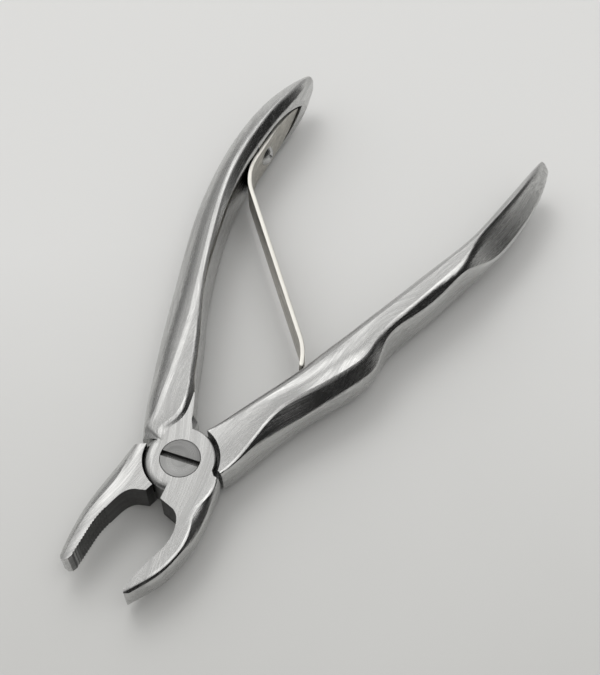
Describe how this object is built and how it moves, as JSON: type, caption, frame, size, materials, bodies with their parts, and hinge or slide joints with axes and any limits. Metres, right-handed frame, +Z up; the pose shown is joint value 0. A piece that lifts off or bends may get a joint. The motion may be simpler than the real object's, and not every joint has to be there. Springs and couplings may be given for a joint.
{
  "type": "extraction forceps",
  "caption": "Small dental extraction forceps with curved serrated beaks, a slotted-screw lap joint, contoured handles and a leaf spring that opens them.",
  "frame": {"origin": "on the pivot axis, at the flat underside of the lap joint", "axes": "+Y towards the handle ends, the beaks point along -Y, +Z up along the pivot axis, +X towards the lower lever's handle"},
  "size_m": [0.0614, 0.1205, 0.0135],
  "materials": {
    "lower_lever_steel": "satin ground stainless steel with softly polished edges",
    "upper_lever_steel": "satin ground stainless steel with softly polished edges",
    "pivot_screw_steel": "turned stainless steel, faced flush with the joint",
    "spring_base_steel": "satin spring steel strip",
    "spring_blade_steel": "satin spring steel strip",
    "spring_screw_steel": "small slotted stainless steel screw"
  },
  "bodies": {
    "lower_arm": {"lower_lever": "lower_lever_steel", "pivot_screw": "pivot_screw_steel"},
    "upper_arm": {"upper_lever": "upper_lever_steel", "spring_base": "spring_base_steel", "spring_screw": "spring_screw_steel"},
    "spring_leaf": {"spring_blade": "spring_blade_steel"}
  },
  "joints": [
    {"name": "pivot", "type": "hinge", "parent": "lower_arm", "child": "upper_arm", "pos_m": [0, 0, 0], "axis": [0, 0, 1], "range_deg": [-19, 3], "stiffness_Nm_per_rad": 1.5},
    {"name": "spring_flex", "type": "hinge", "parent": "upper_arm", "child": "spring_leaf", "pos_m": [-0.02304, 0.0603, 0.00375], "axis": [0, 0, 1], "range_deg": [-20, 4]}
  ],
  "couplings": [
    {"joint": "spring_flex", "follows": "pivot", "ratio": 1}
  ]
}
